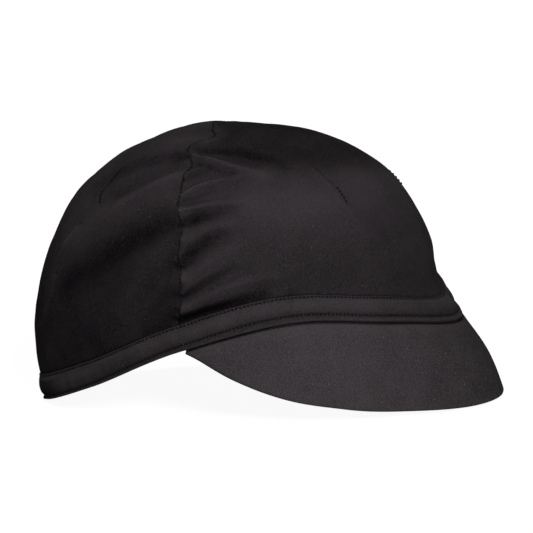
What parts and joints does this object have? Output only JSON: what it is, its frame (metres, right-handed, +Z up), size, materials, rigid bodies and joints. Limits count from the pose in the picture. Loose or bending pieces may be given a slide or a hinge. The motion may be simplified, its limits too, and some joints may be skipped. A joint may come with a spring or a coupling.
{
  "type": "cycling cap",
  "caption": "Soft cotton cycling cap with a short turned-down visor, a side-to-side crown seam and a stitched hem band.",
  "frame": {"origin": "middle of the cap's outer box, on the surface it rests on", "axes": "+Z up, -Y to the front where the visor is, +X to the wearer's left"},
  "size_m": [0.1686, 0.222, 0.1256],
  "materials": {
    "crown_cloth": "matt black cotton twill",
    "band_cloth": "matt black cotton, folded and double stitched",
    "visor_cloth": "matt black cotton drawn smooth over a stiff core"
  },
  "bodies": {
    "root": {"crown_front_panel": "crown_cloth", "crown_rear_panel": "crown_cloth", "hem_band_front": "band_cloth", "hem_band_rear": "band_cloth", "visor": "visor_cloth"}
  },
  "joints": []
}
